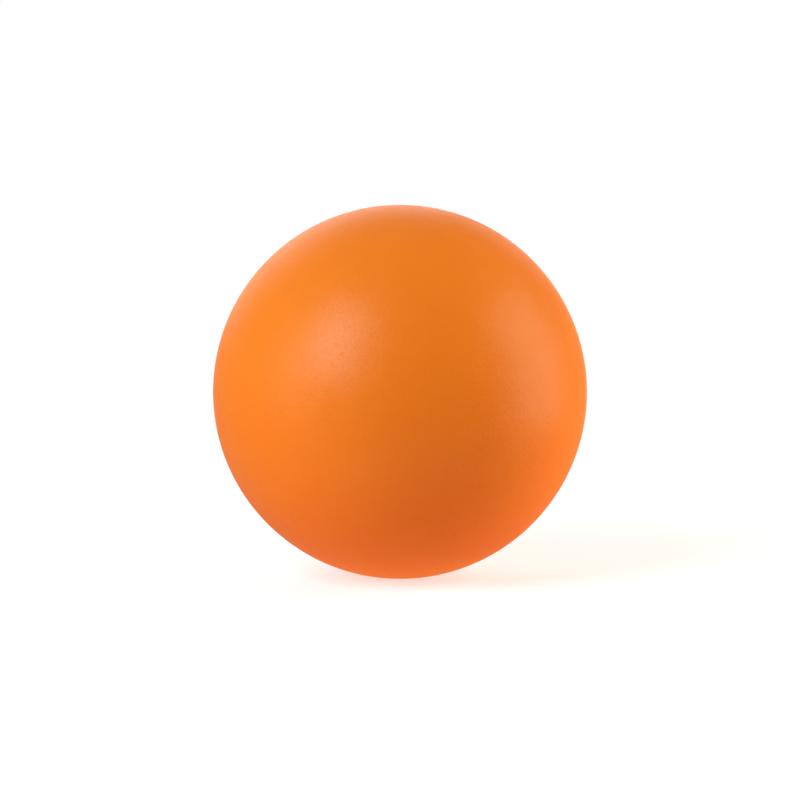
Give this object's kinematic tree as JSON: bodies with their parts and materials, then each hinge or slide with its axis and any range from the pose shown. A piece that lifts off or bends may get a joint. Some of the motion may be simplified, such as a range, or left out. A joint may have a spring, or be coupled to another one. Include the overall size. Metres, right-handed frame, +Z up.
{
  "type": "exercise ball",
  "caption": "Soft inflatable ball with a thin satin skin, a moulded air valve and a push-in stopper, for floor exercises, stretching and balance work.",
  "frame": {"origin": "middle of the small flat that the ball rests on, straight below the centre of the ball", "axes": "+Z up; +Y out along the axis of the valve at the back; -Y is the front that the picture shows; +X to the right as the front is seen"},
  "size_m": [0.25, 0.2503, 0.249],
  "materials": {
    "skin_vinyl": "satin",
    "valve_vinyl": "satin",
    "stopper_plastic": "satin"
  },
  "bodies": {
    "ball": {"ball_skin": "skin_vinyl", "valve_seat": "valve_vinyl"},
    "stopper": {"stopper": "stopper_plastic"}
  },
  "joints": [
    {"name": "stopper_slide", "type": "slide", "parent": "ball", "child": "stopper", "axis": [0, 1, 0], "range_m": [0, 0.022]}
  ]
}
